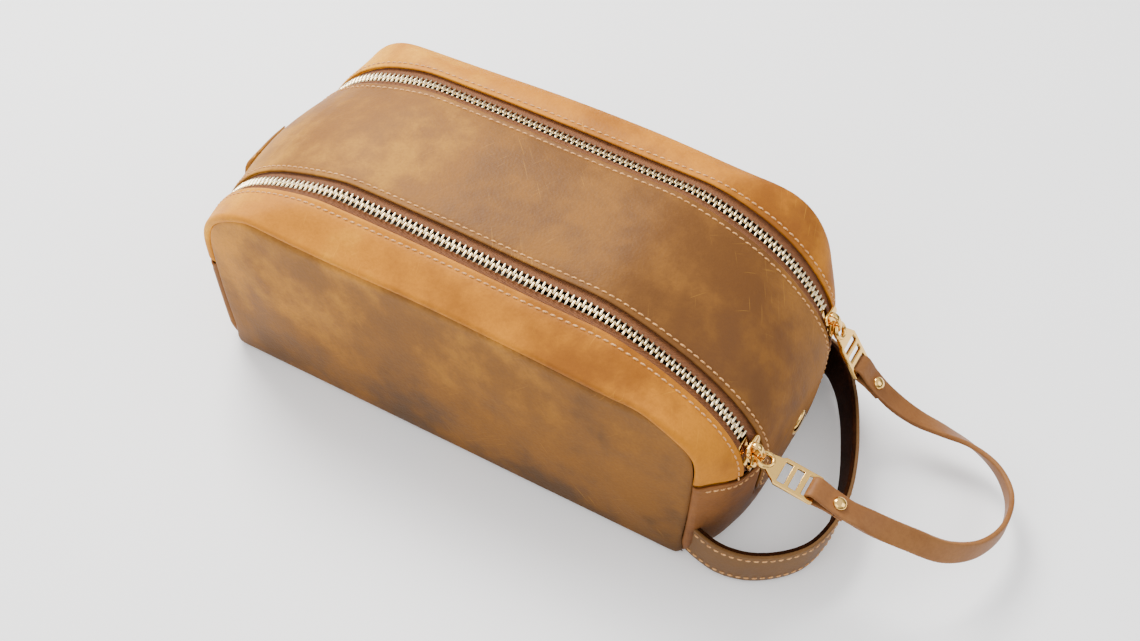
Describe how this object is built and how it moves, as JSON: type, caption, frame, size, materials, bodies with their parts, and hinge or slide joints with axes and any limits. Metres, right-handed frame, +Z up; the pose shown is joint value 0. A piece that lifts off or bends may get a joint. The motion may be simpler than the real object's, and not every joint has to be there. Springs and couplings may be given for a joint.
{
  "type": "shaving kit bag",
  "caption": "Leather shaving kit bag with parallel metal zips, a fold-back top lid that snaps to the end wall, a riveted wrist strap linking the zip pulls, and a sewn side handle.",
  "frame": {"origin": "centre of the flat base", "axes": "+X along the bag towards the zip pulls and the handle, +Z up, -Y towards the front panel"},
  "size_m": [0.3961, 0.1354, 0.112],
  "materials": {
    "leather_tan": "distressed waxed leather, satin",
    "leather_strap": "oiled strap leather, satin",
    "suede": "rough flesh side, matt",
    "tape": "woven zip tape",
    "teeth": "polished pale gold",
    "gold": "polished gold plate",
    "lining": "plain woven cotton",
    "board": "stiffener board"
  },
  "bodies": {
    "bag": {"front_panel": "leather_tan", "back_panel": "leather_tan", "front_gusset": "leather_tan", "back_gusset": "leather_tan", "bottom_band": "leather_tan", "left_top_panel": "leather_tan", "grip_tab": "leather_strap", "lining": "lining", "base_board": "board", "front_outer_tape": "tape", "back_outer_tape": "tape", "front_outer_teeth": "teeth", "back_outer_teeth": "teeth", "left_inner_tapes": "tape", "left_inner_teeth": "teeth", "bottom_stops": "teeth", "outer_top_stops": "teeth", "snap_stud": "gold", "handle_roots": "leather_strap"},
    "lid": {"lid_panel": "leather_tan", "lid_lining": "lining", "front_lid_tape": "tape", "back_lid_tape": "tape", "front_lid_teeth": "teeth", "back_lid_teeth": "teeth", "lid_top_stops": "teeth", "snap_cap": "gold", "snap_socket": "gold"},
    "sliders": {"front_slider": "gold", "back_slider": "gold"},
    "pulls": {"front_pull": "gold", "back_pull": "gold", "wrist_strap": "leather_strap", "front_rivet": "gold", "back_rivet": "gold"},
    "handle": {"handle_outer_ply": "leather_strap", "handle_inner_ply": "suede"}
  },
  "joints": [
    {"name": "zip_travel", "type": "hinge", "parent": "bag", "child": "sliders", "pos_m": [0.05948, 0, 0.01559], "axis": [0, -1, 0], "range_deg": [0, 60], "deforming": ["front_outer_tape", "back_outer_tape", "front_lid_tape", "back_lid_tape", "left_inner_tapes", "front_outer_teeth", "back_outer_teeth", "front_lid_teeth", "back_lid_teeth", "left_inner_teeth"]},
    {"name": "lid_open", "type": "hinge", "parent": "bag", "child": "lid", "pos_m": [0.04, 0, 0.112], "axis": [0, -1, 0], "range_deg": [0, 108]},
    {"name": "strap_swing", "type": "hinge", "parent": "sliders", "child": "pulls", "pos_m": [0.14575, 0, 0.06023], "axis": [0, -1, 0], "range_deg": [0, 48]},
    {"name": "handle_swing", "type": "hinge", "parent": "bag", "child": "handle", "pos_m": [0.131, 0, 0.0124], "axis": [0, -1, 0], "range_deg": [0, 30]}
  ],
  "couplings": [
    {"joint": "lid_open", "follows": "zip_travel", "ratio": 1.8}
  ]
}
